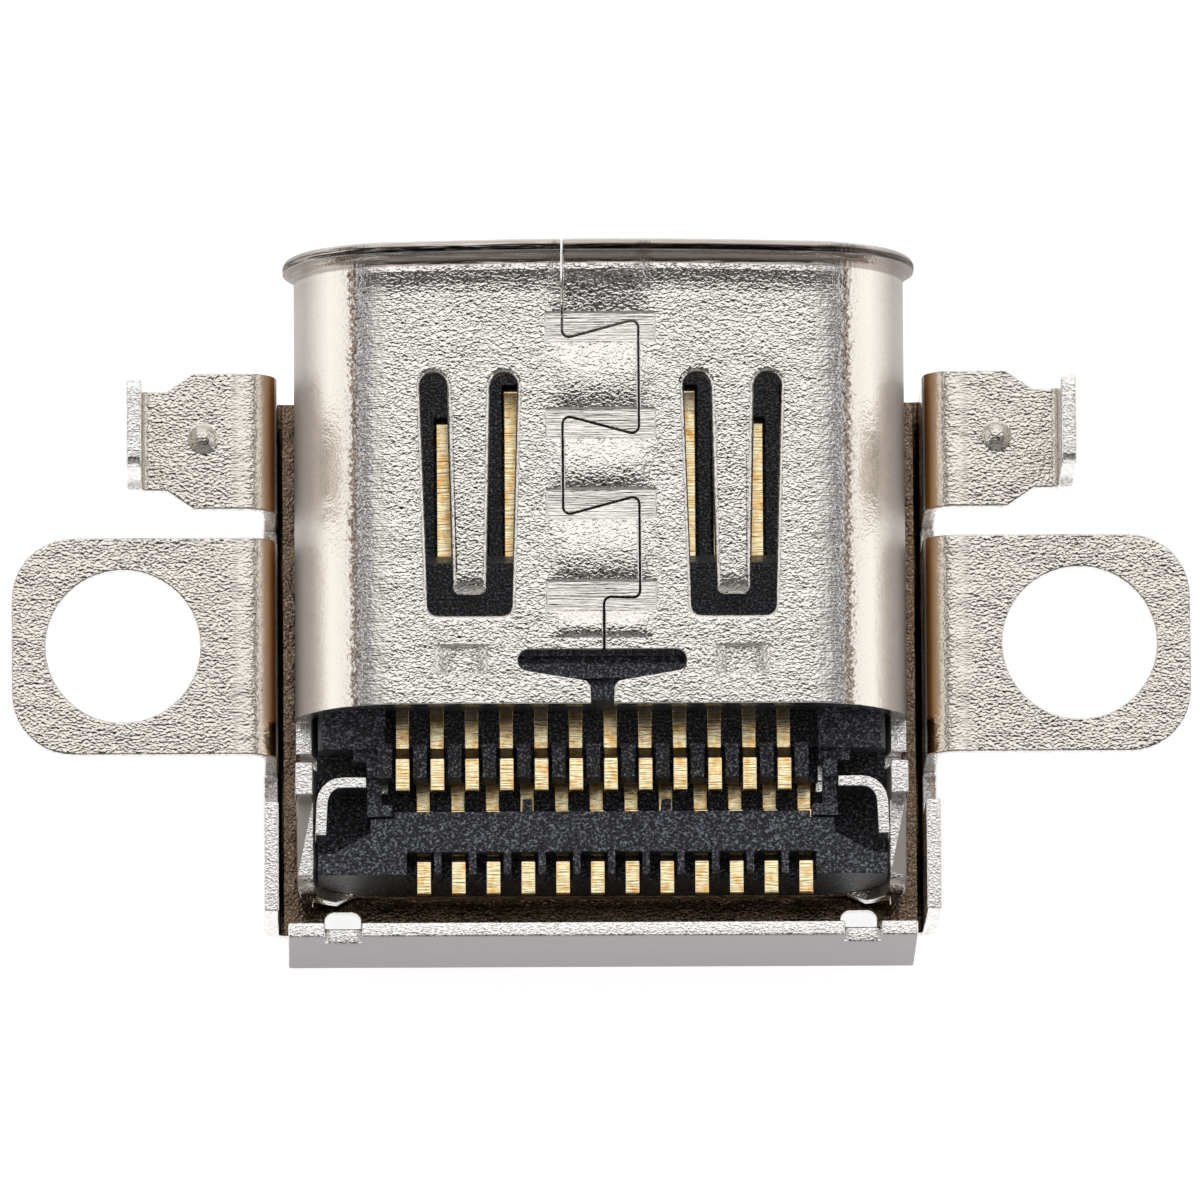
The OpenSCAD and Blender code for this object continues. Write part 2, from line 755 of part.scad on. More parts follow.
// Side view of a base-side tail behind its run
function base_tail_profile(rise, crest) =
    let (t = contact_t, lo = tongue_under)
    [[rise + eps, lo], [rise + eps, lo + t], [rise + 0.06, lo + t], [crest + 0.06, high_top],
     [base_foot_rise, high_top], [base_foot, 0], [base_foot_end, 0], [base_foot_end, -t],
     [base_foot - 0.07, -t], [base_foot_rise - 0.07, high_under], [crest - 0.04, high_under],
     [rise - 0.04, lo]];

module base_tail(i) {
    translate([base_tail_x(i), 0, 0]) along_x(tail_w) polygon(is_covered(i)
        ? base_tail_profile(covered_rise, covered_crest)
        : base_tail_profile(base_rise, base_crest));
}

module base_contact(i) {
    color("gold") difference() {
        union() {
            base_run(i);
            base_tail(i);
        }
        blade_bevel(i, tongue_under, -1);
    }
}

// Small bevel that leads the plug's springs on to a blade
module blade_bevel(i, face_z, side) {
    x = contact_x(i);
    translate([x, blade_tip(i), face_z]) along_x(1)
        polygon([[-0.08, side * eps / 8], [0.1, side * eps / 8], [0.1, -side * 0.08],
                 [0, -side * 0.08]]);
}

// ---- Insulators ----

module tongue_body() {
    color([0.12, 0.12, 0.13]) difference() {
        union() {
            tongue_blade();
            tongue_root();
            insulator_plug();
        }
        for (i = [1:12]) {
            board_run(i);
            base_run(i);
            contact_grooves(i);
        }
        mid_plate_slot();
        both_sides() bridge_pocket();
        roof_grooves();
    }
}

// Tongue with bevelled edges at its tip
module tongue_blade() {
    h = tongue_t / 2;
    along_x(tongue_w) translate([0, axis_z]) polygon([
        [body_front - eps, -h], [tongue_tip - tongue_bevel, -h], [tongue_tip, -h + tongue_bevel],
        [tongue_tip, h - tongue_bevel], [tongue_tip - tongue_bevel, h], [body_front - eps, h]]);
}

module tongue_root() {
    along_x(tongue_w + 0.5) translate([0, axis_z]) polygon([
        [body_front - eps, -root_half], [root_front - 0.18, -root_half], [root_front, -tongue_t / 2],
        [root_front, tongue_t / 2], [root_front - 0.18, root_half], [body_front - eps, root_half]]);
}

// Block that fills the shell behind the windows
module insulator_plug() {
    along_y(body_rear, body_front) translate([0, axis_z]) stadium(r_in - fit_gap);
}

// Open grooves in which the blades lie, a little wider than the blades
module contact_grooves(i) {
    x = contact_x(i);
    half = blade_w(i) / 2 + groove_side;
    tip = blade_tip(i) + groove_side;
    span([x - half, root_front - eps, tongue_top - contact_t], [x + half, tip, tongue_top + 0.1]);
    span([x - half, root_front - eps, tongue_under - 0.1], [x + half, tip, tongue_under + contact_t]);
}

module bridge_pocket() {
    span([bridge_x - bridge_w / 2 - 0.06, bridge_y - bridge_len / 2 - 0.04,
          roof_z - bridge_t - bridge_sag - 0.04],
         [bridge_x + bridge_w / 2 + 0.06, bridge_y + bridge_len / 2 + 0.04, roof_z]);
}

// Two shallow grooves across the block's top, seen through the roof's rear slot
module roof_grooves() {
    top = axis_z + r_in;
    for (y = [slot_front - 0.1, slot_taper + 0.02])
        span([-slot_half, y - 0.05, top - 0.12], [slot_half, y + 0.05, top]);
}

// ---- Mid plate ----

plate_half = tongue_w / 2 - 0.06;
latch_y = tongue_tip - latch_setback;
spring_root = min(plate_half, spring_in) - 0.2;
plate_front = tongue_tip - 0.22;
plate_rear = wafer_rear + 0.02;

module plate_outline() {
    difference() {
        translate([-plate_half, plate_rear]) square([2 * plate_half, plate_front - plate_rear]);
        for (s = [-1, 1]) translate([s * plate_half, latch_y]) square([0.3, 0.5], center = true);
    }
}

module mid_plate_slot() {
    between_z(plate_under, plate_top) plate_outline();
}

// Ground spring: stands on edge, turns back and bears on the shell's flank
module ground_spring() {
    path = rounded([[spring_in, spring_y], [spring_out - 0.04, spring_y],
                    [spring_out, spring_tip]], spring_bend);
    between_z(plate_under, spring_top) polygon(strip(path, spring_t));
    span([spring_root, spring_y - spring_t / 2, plate_under],
         [spring_in + 0.05, plate_rear + eps, plate_top]);
}

module mid_plate() {
    color("darkgray") {
        between_z(plate_under, plate_top) plate_outline();
        both_sides() ground_spring();
    }
}

// ---- Rear wafers ----

// Board-side wafer: a deck for the tails, ribs between them and a block at each side
module board_side_wafer() {
    color([0.14, 0.14, 0.15]) intersection() {
        difference() {
            union() {
                span([-block_in - 0.05, rib_front, plate_top], [block_in + 0.05, body_rear, deck_z]);
                span([-block_in, wafer_rear, plate_top], [block_in, rib_front + eps, channel_z]);
                for (i = [0:12]) rib(board_tail_x(i) + pitch / 2);
                both_sides() side_block();
            }
            for (i = [1:12]) board_run(i);
        }
        along_y(wafer_rear - 1, body_rear) translate([0, axis_z]) stadium(r_in - fit_gap);
    }
}

module rib(x) {
    span([x - rib_w / 2, wafer_rear, plate_top], [x + rib_w / 2, rib_front, rib_top]);
}

module side_block() {
    span([block_in, block_rear, plate_top], [block_out, body_rear, block_top]);
    span([block_in, step_rear, plate_top], [step_out, block_rear + eps, block_top - 0.1]);
    span([post_in, spring_y + spring_t / 2, plate_top], [post_out, step_rear + eps, block_top]);
    span([post_in, post_rear, plate_top], [post_out, step_rear + eps, block_top - 0.1]);
    span([foot_in, foot_rear, base_deck + eps], [post_out, post_rear + eps, bar_top]);
}

// Base-side wafer: a slab under the tails and a toothed bar behind them
module base_side_wafer() {
    color([0.13, 0.13, 0.14]) intersection() {
        difference() {
            union() {
                slab();
                bar();
                for (i = covered) riser_cap(base_tail_x(i));
            }
            for (i = [1:12]) {
                base_run(i);
                base_tail(i);
                tail_slot(slot_x(i));
            }
        }
        along_y(bar_rear - 1, body_rear) translate([0, axis_z]) {
            stadium(r_in - fit_gap);
            translate([-bar_out, 0]) square([2 * bar_out, reach]);
        }
    }
}

module slab() {
    span([-bar_out, bar_rear, axis_z - r_in], [bar_out, body_rear, base_deck]);
}

// Bar with sloping shoulders at its front corners
module bar() {
    between_z(base_deck - eps, bar_top) polygon([
        [-bar_notch_in, bar_front], [bar_notch_in, bar_front], [bar_notch_in, bar_notch_rear],
        [bar_shoulder, bar_notch_rear], [bar_shoulder, bar_front - 0.3],
        [bar_slope_out, bar_wing], [bar_out, bar_wing], [bar_out, bar_rear], [-bar_out, bar_rear],
        [-bar_out, bar_wing], [-bar_slope_out, bar_wing], [-bar_shoulder, bar_front - 0.3],
        [-bar_shoulder, bar_notch_rear], [-bar_notch_in, bar_notch_rear]]);
}

// Slot that lets a tail rise out of the bar's rear edge
module tail_slot(x) {
    half = (pitch - tooth_w) / 2;
    span([x - half, bar_rear - 1, slot_floor], [x + half, tooth_front, bar_top + 1]);
}

module riser_cap(x) {
    span([x - cap_w / 2, bar_front - eps, base_deck - eps],
         [x + cap_w / 2, bar_front + cap_len, cap_top]);
}

shell();
bracket();
tongue_body();
board_side_wafer();
base_side_wafer();
mid_plate();
for (i = [1:12]) {
    board_contact(i);
    base_contact(i);
}
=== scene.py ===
import math

import bmesh
import bpy
from mathutils import Matrix, Vector
from mathutils.bvhtree import BVHTree


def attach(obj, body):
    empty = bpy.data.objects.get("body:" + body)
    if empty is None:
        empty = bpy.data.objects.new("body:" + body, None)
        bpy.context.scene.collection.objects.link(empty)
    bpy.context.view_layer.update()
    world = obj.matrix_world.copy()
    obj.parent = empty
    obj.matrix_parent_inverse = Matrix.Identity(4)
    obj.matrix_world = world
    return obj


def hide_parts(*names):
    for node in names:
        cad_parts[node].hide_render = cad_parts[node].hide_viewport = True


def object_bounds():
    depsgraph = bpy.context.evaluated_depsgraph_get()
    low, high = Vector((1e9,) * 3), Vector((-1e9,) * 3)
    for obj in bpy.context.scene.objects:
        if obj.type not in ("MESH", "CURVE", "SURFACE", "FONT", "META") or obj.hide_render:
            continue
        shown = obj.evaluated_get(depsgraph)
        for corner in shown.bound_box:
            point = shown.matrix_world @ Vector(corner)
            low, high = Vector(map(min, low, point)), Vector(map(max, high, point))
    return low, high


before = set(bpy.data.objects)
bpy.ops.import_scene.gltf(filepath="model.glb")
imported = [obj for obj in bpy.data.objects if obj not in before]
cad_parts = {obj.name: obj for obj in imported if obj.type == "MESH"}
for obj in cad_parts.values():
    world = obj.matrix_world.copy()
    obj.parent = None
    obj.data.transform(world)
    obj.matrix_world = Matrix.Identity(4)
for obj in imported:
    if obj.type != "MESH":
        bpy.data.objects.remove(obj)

cad_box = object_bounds()
MM = 0.001


# ---- Places, in millimetres, in the frame of the socket ----

CORE = 2.89                         # half length of the shell's flat stretch
MOUTH_Y = 5.8
RIM_Y = 5.46                        # where the lip's fillet starts
BOW_R = 95.0                        # the rim's front edge is slightly bowed
SHEET = {"shell": 0.25, "bracket": 0.22}
COIN = (1.56, 0.42)                 # a coined pad over the seam, across and along
COIN_YS = (4.51, 3.1, 1.92, 0.58)   # where those pads are
CONTACTS = range(1, 13)             # of each row, from the left


# ---- Materials ----

def srgb(text):
    """An sRGB hex colour as linear values."""
    values = [int(text[i:i + 2], 16) / 255 for i in (1, 3, 5)]
    return [v / 12.92 if v <= 0.04045 else ((v + 0.055) / 1.055) ** 2.4 for v in values] + [1.0]


def add(tree, kind, inputs=(), stops=(), **settings):
    """Adds one shader node and gives its output. Inputs are values, hex colours or the outputs of other
    nodes. Stops are the places and colours of a ramp, the two ends first."""
    node = tree.nodes.new("ShaderNode" + kind)
    for name, value in settings.items():
        setattr(node, name, value)
    for key, value in (inputs.items() if isinstance(inputs, dict) else enumerate(inputs)):
        if isinstance(value, bpy.types.NodeSocket):
            tree.links.new(value, node.inputs[key])
        else:
            node.inputs[key].default_value = srgb(value) if isinstance(value, str) else value
    for i, (place, colour) in enumerate(stops):
        stop = node.color_ramp.elements[i] if i < 2 else node.color_ramp.elements.new(place)
        stop.position = place
        stop.color = srgb(colour) if isinstance(colour, str) else [colour] * 3 + [1.0]
    return next((output for output in node.outputs if output.enabled), None)


def new_material(name, metallic, roughness):
    """A material, its tree, its shader, and where a point of the piece is, in millimetres."""
    made = bpy.data.materials.new(name)
    made.use_nodes = True
    tree = made.node_tree
    tree.nodes.clear()
    shader = add(tree, "BsdfPrincipled", {"Metallic": metallic, "Roughness": roughness})
    add(tree, "OutputMaterial", {"Surface": shader})
    place = add(tree, "TexCoord").node.outputs["Object"]
    point = add(tree, "VectorMath", [place, (1000, 1000, 1000)], operation="MULTIPLY")
    return made, tree, shader.node.inputs, point


def coined_pads(tree, across, y):
    """1 on the pads that were struck flat over the seam, falling off over their edges."""
    pads = 0.0
    for place in COIN_YS:
        off = add(tree, "Math", [y, place], operation="SUBTRACT")
        off = add(tree, "Math", [off], operation="ABSOLUTE")
        pad = add(tree, "MapRange", [off, COIN[1] / 2 - 0.01, COIN[1] / 2 + 0.025, 1.0, 0.0])
        pads = add(tree, "Math", [pad, pads], operation="ADD")
    inside = add(tree, "MapRange", [across, COIN[0] / 2 - 0.01, COIN[0] / 2 + 0.025, 1.0, 0.0])
    return add(tree, "Math", [pads, inside], operation="MULTIPLY")


def seam_swell(tree, across, y):
    """Height, in millimetres, of the strip along the seam. It swells between two coined pads and dips in
    front of the next."""
    swell = 0.0
    for front, rear in zip(COIN_YS, COIN_YS[1:] + (-0.25,)):
        t = add(tree, "MapRange", [y, rear + COIN[1] / 2, front - COIN[1] / 2, 0.0, 1.0])
        fall = add(tree, "Math", [1.0, t], operation="SUBTRACT")
        steep = add(tree, "Math", [2.0, t], operation="SUBTRACT")
        rise = add(tree, "Math", [t, fall], operation="MULTIPLY")
        swell = add(tree, "Math", [rise, steep, swell], operation="MULTIPLY_ADD")
    foremost = add(tree, "MapRange", [y, 4.72, 5.32, 0.0, 0.6])
    swell = add(tree, "Math", [foremost, swell], operation="ADD")
    fade = add(tree, "MapRange", [across, 0.45, 0.82, 0.13, 0.0], interpolation_type="SMOOTHSTEP")
    return add(tree, "Math", [swell, fade], operation="MULTIPLY")


def stamped_shell_steel():
    """Stainless strip, drawn to a tube and plated with satin nickel: short creases across the flats, that
    glint light and dark, ironed smooth towards the sides and rubbed along the bends."""
    made, tree, shader, point = new_material("stamped_shell_steel", 1.0, 0.15)
    x, y, _ = add(tree, "SeparateXYZ", [point]).node.outputs
    across = add(tree, "Math", [x], operation="ABSOLUTE")
    width = add(tree, "Math", [across, 5.0], operation="DIVIDE")
    blot_size = add(tree, "Mapping", {"Vector": point, "Scale": (1 / 0.09, 1 / 0.07, 1 / 0.09)})
    blots = add(tree, "TexNoise", {"Vector": blot_size, "Scale": 1.0, "Detail": 2.0})
    ragged = add(tree, "Math", [blots, 0.06, width], operation="MULTIPLY_ADD")
    ragged = add(tree, "Math", [ragged, 0.03], operation="SUBTRACT")
    crease_size = add(tree, "Mapping", {"Vector": point, "Scale": (1 / 0.05, 1 / 0.036, 1 / 0.05)})
    creases = add(tree, "TexNoise", {"Vector": crease_size, "Scale": 1.0, "Detail": 0.5, "Distortion": 0.6})
    stroke_size = add(tree, "Mapping", {"Vector": point, "Scale": (1 / 0.5, 1 / 0.022, 1 / 0.5)})
    strokes = add(tree, "TexNoise", {"Vector": stroke_size, "Scale": 1.0, "Detail": 2.0})
    dent_size = add(tree, "Mapping", {"Vector": point, "Scale": (1 / 0.6, 1 / 0.45, 1 / 0.6)})
    dents = add(tree, "TexNoise", {"Vector": dent_size, "Scale": 1.0, "Detail": 2.0})
    drawn_size = add(tree, "Mapping", {"Vector": point, "Scale": (1 / 0.028, 1 / 0.4, 1 / 0.05)})
    drawn = add(tree, "TexNoise", {"Vector": drawn_size, "Scale": 1.0, "Detail": 2.0})
    pads = coined_pads(tree, across, y)
    # How far behind the bowed front edge a point lies, in millimetres.
    bowed = add(tree, "Math", [across, CORE], operation="MINIMUM")
    bowed = add(tree, "Math", [bowed, bowed], operation="MULTIPLY")
    level = add(tree, "Math", [bowed, 0.5 / BOW_R, y], operation="MULTIPLY_ADD")
    rim = add(tree, "MapRange", [level, MOUTH_Y, MOUTH_Y - 1.0, 0.0, 1.0])
    flare = add(tree, "MapRange", [level, 4.75, 5.2, 0.0, 1.0])
    on_lip = add(tree, "ValToRGB", [rim], stops=[(0.0, 1.0), (1.0, 0.0), (0.35, 1.0), (0.37, 0.0)])
    off_lip = add(tree, "Math", [1.0, on_lip], operation="SUBTRACT")
    # How deep each mark is, in millimetres, from the middle of the shell to its sides.
    crease_depth = add(tree, "ValToRGB", [ragged], stops=[
        (0.0, 0.0150), (1.0, 0.0010), (0.61, 0.0150), (0.64, 0.0060), (0.68, 0.0100), (0.71, 0.0140),
        (0.735, 0.0060), (0.80, 0.0040), (0.84, 0.0015)])
    unstruck = add(tree, "MapRange", [pads, 0.0, 1.0, 1.0, 0.10])
    crease_depth = add(tree, "Math", [crease_depth, unstruck], operation="MULTIPLY")
    crease_depth = add(tree, "Math", [crease_depth, off_lip], operation="MULTIPLY")
    stroke_depth = add(tree, "ValToRGB", [width], stops=[
        (0.0, 0.0), (1.0, 0.0), (0.60, 0.0), (0.63, 0.0080), (0.68, 0.0050), (0.70, 0.0)])
    stroke_depth = add(tree, "Math", [pads, 0.009, stroke_depth], operation="MULTIPLY_ADD")
    stroke_depth = add(tree, "Math", [on_lip, 0.004, stroke_depth], operation="MULTIPLY_ADD")
    drawn_depth = add(tree, "Math", [flare, 0.006], operation="MULTIPLY")
    rim_profile = add(tree, "ValToRGB", [rim], stops=[
        (0.0, 0.0590), (1.0, 0.0), (0.10, 0.0590), (0.185, 0.0450), (0.20, 0.0550), (0.43, 0.0550),
        (0.52, 0.0330), (0.62, 0.0120), (0.75, 0.0)])
    height = add(tree, "Math", [creases, crease_depth], operation="MULTIPLY")
    height = add(tree, "Math", [strokes, stroke_depth, height], operation="MULTIPLY_ADD")
    height = add(tree, "Math", [drawn, drawn_depth, height], operation="MULTIPLY_ADD")
    height = add(tree, "Math", [dents, 0.02, height], operation="MULTIPLY_ADD")
    height = add(tree, "Math", [seam_swell(tree, across, y), height], operation="ADD")
    height = add(tree, "Math", [height, rim_profile], operation="ADD")
    height = add(tree, "Math", [pads, -0.014, height], operation="MULTIPLY_ADD")
    # Over the turn of the sides the colour holds painted shade and sheen: a little darker grey from about
    # 3.3 mm out, a painted dark brown line at about 3.56 mm, a painted lighter band to about 4.05 mm, then a
    # little darker again down the sides.
    colour = add(tree, "ValToRGB", [ragged], stops=[
        (0.0, "#e6e1db"), (1.0, "#dcd4ce"), (0.655, "#e6e1db"), (0.675, "#d2d0d1"), (0.70, "#cfc8c2"),
        (0.712, "#8c7562"), (0.724, "#ebe4da"), (0.81, "#ebe4da"), (0.85, "#dcd4ce")])
    # The lip: burnished at its front, with a painted dark ring of shade round its outside, a painted light
    # line, a painted brown-grey shade on the fillet behind it, which faces to the rear, and a painted bright
    # line where the fillet meets the flare. Painted glints along its strokes lighten it, more towards -X.
    burnish_and_painted_light = add(tree, "ValToRGB", [rim], stops=[
        (0.0, "#d8d2cc"), (1.0, "#e6e1db"), (0.075, "#b5aca5"), (0.095, "#4a423d"), (0.165, "#38302c"),
        (0.185, "#d6cfca"), (0.21, "#b9ada4"), (0.34, "#b0a49b"), (0.37, "#e9e8ea")])
    glint = add(tree, "MapRange", [strokes, 0.5, 0.6, 0.0, 1.0])
    to_one_side = add(tree, "MapRange", [x, -0.3, -0.8, 0.15, 0.8])
    glint = add(tree, "Math", [glint, to_one_side], operation="MULTIPLY")
    burnish_and_painted_light = add(tree, "Mix", {"Factor": glint, "A": burnish_and_painted_light, "B": "#d4cdc6"}, data_type="RGBA")
    colour = add(tree, "Mix", {"Factor": on_lip, "A": colour, "B": burnish_and_painted_light}, data_type="RGBA")
    tree.links.new(colour, shader["Base Color"])
    tree.links.new(add(tree, "MapRange", [across, 3.9, 4.25, 0.14, 0.5]), shader["Roughness"])
    tree.links.new(add(tree, "MapRange", [across, 3.9, 4.25, 1.0, 0.2]), shader["Metallic"])
    tree.links.new(add(tree, "Bump", {"Height": height, "Distance": MM}), shader["Normal"])
    return made


def stamped_bracket_steel():
    """Stainless strip, folded and plated with satin nickel: creased like the shell on its flats, drawn in
    fine strokes beside each bend, warm where a bend turns down, with painted dark shade further down the
    bend and low inside, and a painted darker grey on the rear face."""
    made, tree, shader, point = new_material("stamped_bracket_steel", 1.0, 0.15)
    x, y, z = add(tree, "SeparateXYZ", [point]).node.outputs
    across = add(tree, "Math", [x], operation="ABSOLUTE")
    width = add(tree, "Math", [across, 10.0], operation="DIVIDE")
    crease_size = add(tree, "Mapping", {"Vector": point, "Scale": (1 / 0.05, 1 / 0.036, 1 / 0.05)})
    creases = add(tree, "TexNoise", {"Vector": crease_size, "Scale": 1.0, "Detail": 0.5, "Distortion": 0.5})
    stroke_size = add(tree, "Mapping", {"Vector": point, "Scale": (1 / 0.3, 1 / 0.022, 1 / 0.3)})
    strokes = add(tree, "TexNoise", {"Vector": stroke_size, "Scale": 1.0, "Detail": 2.0})
    dent_size = add(tree, "Mapping", {"Vector": point, "Scale": (1 / 0.6, 1 / 0.45, 1 / 0.6)})
    dents = add(tree, "TexNoise", {"Vector": dent_size, "Scale": 1.0, "Detail": 2.0})
    crease_depth = add(tree, "ValToRGB", [width], stops=[
        (0.0, 0.0060), (1.0, 0.0150), (0.485, 0.0040), (0.50, 0.0100), (0.525, 0.0030), (0.54, 0.0150)])
    stroke_depth = add(tree, "ValToRGB", [width], stops=[
        (0.0, 0.0), (1.0, 0.0), (0.520, 0.0), (0.528, 0.0080), (0.536, 0.0)])
    # The rear face was ironed smooth when it was folded up.
    behind = add(tree, "MapRange", [y, -4.2, -4.24, 0.0, 1.0])
    ironed = add(tree, "MapRange", [behind, 0.0, 1.0, 1.0, 0.05])
    crease_depth = add(tree, "Math", [crease_depth, ironed], operation="MULTIPLY")
    height = add(tree, "Math", [creases, crease_depth], operation="MULTIPLY")
    height = add(tree, "Math", [strokes, stroke_depth, height], operation="MULTIPLY_ADD")
    height = add(tree, "Math", [dents, 0.02, height], operation="MULTIPLY_ADD")
    # Down the ear bends the colour turns warm, then holds a painted dark band of shade about 0.3 to 0.45 mm
    # down, and turns grey again below.
    turn = add(tree, "MapRange", [z, 0.0, -1.0, 0.0, 1.0])
    bend_colour_and_shade = add(tree, "ValToRGB", [turn], stops=[
        (0.0, "#dcd6ce"), (1.0, "#d2ccc4"), (0.07, "#dcd0c0"), (0.15, "#d9b48a"), (0.22, "#b07236"),
        (0.32, "#5a361c"), (0.42, "#3a2416"), (0.60, "#c9c2b9")])
    at_bend = add(tree, "Math", [across, 5.0, 0.3], operation="COMPARE")
    # Low inside the bracket the colour is painted dark brown shade, speckled.
    deep = add(tree, "MapRange", [z, -1.0, -1.5, 0.0, 1.0])
    inside = add(tree, "MapRange", [across, 4.72, 4.66, 0.0, 1.0])
    ahead = add(tree, "MapRange", [y, -4.56, -4.5, 0.0, 1.0])
    dark = add(tree, "Math", [deep, inside], operation="MULTIPLY")
    dark = add(tree, "Math", [dark, ahead], operation="MULTIPLY")
    colour = add(tree, "Mix", {"Factor": at_bend, "A": "#dcd6ce", "B": bend_colour_and_shade}, data_type="RGBA")
    speck_size = add(tree, "Mapping", {"Vector": point, "Scale": (1 / 0.03, 1 / 0.03, 1 / 0.03)})
    specks = add(tree, "TexNoise", {"Vector": speck_size, "Scale": 1.0, "Detail": 2.0})
    painted_speckled_shade = add(tree, "ValToRGB", [specks], stops=[(0.45, "#594839"), (0.75, "#a08f7d")])
    colour = add(tree, "Mix", {"Factor": dark, "A": colour, "B": painted_speckled_shade}, data_type="RGBA")
    # The rear face is painted a darker grey: painted shade, for the shaded floor that it mirrors.
    colour = add(tree, "Mix", {"Factor": behind, "A": colour, "B": "#a8a2a5"}, data_type="RGBA")
    tree.links.new(colour, shader["Base Color"])
    tree.links.new(add(tree, "MapRange", [behind, 0.0, 1.0, 0.15, 0.5]), shader["Roughness"])
    tree.links.new(add(tree, "Bump", {"Height": height, "Distance": MM}), shader["Normal"])
    return made


def sheared_steel():
    """The strip's cut edge: torn into short ridges through the sheet's thickness, bright and dark, the
    ridges' crests painted white as a painted highlight.
    """
    made, tree, shader, point = new_material("sheared_steel", 1.0, 0.2)
    ridge_size = add(tree, "Mapping", {"Vector": point, "Scale": (1 / 0.045, 1 / 0.03, 1 / 0.12)})
    ridges = add(tree, "TexNoise", {"Vector": ridge_size, "Scale": 1.0, "Detail": 2.0, "Distortion": 0.5})
    # The crests are painted whiter than the hollows: a painted highlight.
    colour = add(tree, "ValToRGB", [ridges], stops=[(0.35, "#cfc8c0"), (0.6, "#ffffff")])
    tree.links.new(colour, shader["Base Color"])
    height = add(tree, "Math", [ridges, 0.010], operation="MULTIPLY")
    tree.links.new(add(tree, "Bump", {"Height": height, "Distance": MM}), shader["Normal"])
    return made


def moulded_black_lcp():
    """Liquid crystal polymer filled with glass, moulded in a spark-eroded tool: black, with its raised pits
    painted pale grey as a painted sparkle of light."""
    made, tree, shader, point = new_material("moulded_black_lcp", 0.0, 0.3)
    pit_size = add(tree, "Mapping", {"Vector": point, "Scale": (1 / 0.036, 1 / 0.032, 1 / 0.036)})
    pits = add(tree, "TexNoise", {"Vector": pit_size, "Scale": 1.0, "Detail": 2.0, "Roughness": 0.6})
    # The raised pits are painted pale grey: a painted sparkle.
    black_and_painted_sparkle = add(tree, "ValToRGB", [pits], stops=[(0.40, "#0a0b0e"), (0.70, "#a6aab8"), (0.53, "#32353d")])
    tree.links.new(black_and_painted_sparkle, shader["Base Color"])
    height = add(tree, "Math", [pits, 0.05], operation="MULTIPLY")
    tree.links.new(add(tree, "Bump", {"Height": height, "Distance": MM}), shader["Normal"])
    return made


def gold_plated_bronze():
    """Phosphor bronze, blanked, coined and plated with gold: bright, with fine marks across the strip."""
    made, tree, shader, point = new_material("gold_plated_bronze", 1.0, 0.22)
    mark_size = add(tree, "Mapping", {"Vector": point, "Scale": (1 / 0.35, 1 / 0.028, 1 / 0.3)})
    marks = add(tree, "TexNoise", {"Vector": mark_size, "Scale": 1.0, "Detail": 2.0})
    patch_size = add(tree, "Mapping", {"Vector": point, "Scale": (1 / 0.12, 1 / 0.16, 1 / 0.12)})
    patches = add(tree, "TexNoise", {"Vector": patch_size, "Scale": 1.0, "Detail": 2.0})
    colour = add(tree, "ValToRGB", [patches], stops=[(0.42, "#fff0c4"), (0.72, "#eeb968")])
    tree.links.new(colour, shader["Base Color"])
    height = add(tree, "Math", [marks, 0.005], operation="MULTIPLY")
    tree.links.new(add(tree, "Bump", {"Height": height, "Distance": MM}), shader["Normal"])
    return made


FINISH = {
    "shell": stamped_shell_steel(),
    "bracket": stamped_bracket_steel(),
    "edge": sheared_steel(),
    "lcp": moulded_black_lcp(),
    "gold": gold_plated_bronze(),
}


# ---- Pieces ----

def merged(node, sheet=None):
    """A copy of a CAD node's mesh in millimetres, with its corners joined and its flat faces whole. Where it
    is a sheet, faces whose far side is further off than the sheet's thickness are cut edges, and these take
    material 1."""
    bm = bmesh.new()
    bm.from_mesh(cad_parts[node].data)
    bmesh.ops.scale(bm, vec=(1000, 1000, 1000), verts=bm.verts)
    bmesh.ops.remove_doubles(bm, verts=bm.verts, dist=0.0002)
    if sheet:
        tree = BVHTree.FromBMesh(bm)
        for face in bm.faces:
            hit = tree.ray_cast(face.calc_center_median() - face.normal * 0.002, -face.normal)
            face.material_index = int(hit[3] is None or hit[3] > sheet * 1.5)
    bmesh.ops.dissolve_limit(bm, angle_limit=math.radians(1), verts=bm.verts, edges=bm.edges,
                             delimit={"MATERIAL"})
    return bm


def round_edges(bm, width, steps=2, angle=32, chosen=lambda edge: True):
    sharp = [edge for edge in bm.edges
             if edge.is_manifold and edge.calc_face_angle() > math.radians(angle) and chosen(edge)]
    bmesh.ops.bevel(bm, geom=sharp, offset=width, offset_type="OFFSET", segments=steps, profile=0.5,
                    affect="EDGES", clamp_overlap=False, material=-1)


def new_piece(bm, name, finishes):
    """Makes a piece of the socket, back in metres. Broad faces keep flat shading up to their rounded
    edges."""
    bm.normal_update()
    normals = [sum((face.normal * face.calc_area() for face in v.link_faces), Vector()).normalized()
               for v in bm.verts]
    bmesh.ops.scale(bm, vec=(MM, MM, MM), verts=bm.verts)
    mesh = bpy.data.meshes.new(name)
    bm.to_mesh(mesh)
    bm.free()
    for face in mesh.polygons:
        face.use_smooth = True
    mesh.normals_split_custom_set_from_vertices(normals)
    for finish in finishes:
        mesh.materials.append(FINISH[finish])
    piece = bpy.data.objects.new(name, mesh)
    bpy.context.scene.collection.objects.link(piece)
    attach(piece, "root")
    return piece


def finish_piece(bm, name, node, finishes):
    """Makes the piece that stands for a CAD node."""
    piece = new_piece(bm, name, finishes)
    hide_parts(node)


